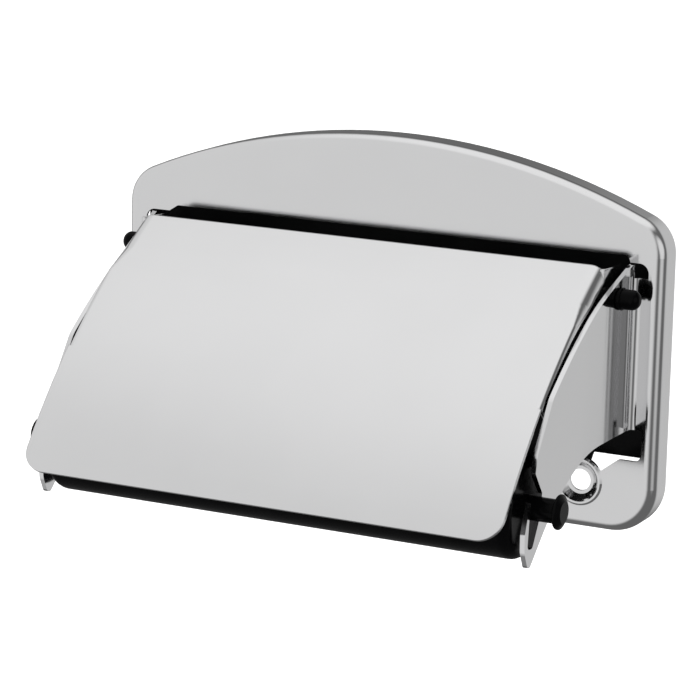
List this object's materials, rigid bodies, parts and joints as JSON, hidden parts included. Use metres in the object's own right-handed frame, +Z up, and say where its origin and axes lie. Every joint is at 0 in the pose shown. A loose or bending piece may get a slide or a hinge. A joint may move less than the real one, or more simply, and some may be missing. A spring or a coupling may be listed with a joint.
{
  "type": "toilet paper holder",
  "caption": "Wall-mounted toilet paper holder: arched face plate, bent side arms, hinged curved lid and a turning roller with grip knobs.",
  "frame": {"origin": "on the wall plane, midway between the two screw holes", "axes": "+X to the right seen from the front, +Y into the wall, +Z up"},
  "size_m": [0.15, 0.0776, 0.0934],
  "materials": {
    "chrome": "polished",
    "black_paint": "gloss",
    "black_plastic": "gloss"
  },
  "bodies": {
    "holder": {"face_plate": "chrome", "window_liner": "black_paint", "arm_left": "chrome", "arm_right": "chrome", "hinge_peg_left": "black_plastic", "hinge_peg_right": "black_plastic"},
    "lid": {"lid": "chrome"},
    "roller": {"roller_tube": "black_plastic", "roller_end_left": "black_plastic", "roller_end_right": "black_plastic"}
  },
  "joints": [
    {"name": "lid_hinge", "type": "hinge", "parent": "holder", "child": "lid", "pos_m": [0, -0.0145, 0.0485], "axis": [-1, 0, 0], "range_deg": [0, 90]},
    {"name": "roller_spin", "type": "hinge", "parent": "holder", "child": "roller", "pos_m": [0, -0.0575, 0.006], "axis": [1, 0, 0], "continuous": true}
  ]
}
